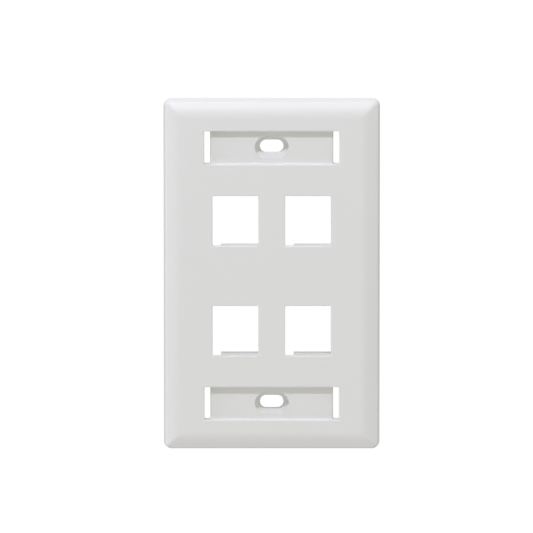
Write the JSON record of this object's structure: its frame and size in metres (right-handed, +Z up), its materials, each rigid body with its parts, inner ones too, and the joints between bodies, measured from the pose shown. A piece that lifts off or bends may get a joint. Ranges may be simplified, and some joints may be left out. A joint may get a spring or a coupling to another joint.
{
  "type": "keystone faceplate",
  "caption": "Upright white wall plate with keystone jack openings, a label recess above and below them, and a countersunk box screw slot in each recess.",
  "frame": {"origin": "centre of the plane of the rim that meets the wall", "axes": "+Z up, +Y into the wall, the face towards -Y, +X to the right seen from the front"},
  "size_m": [0.0698, 0.0102, 0.1142],
  "materials": {
    "faceplate": "satin white moulded plastic"
  },
  "bodies": {
    "root": {"faceplate": "faceplate"}
  },
  "joints": []
}
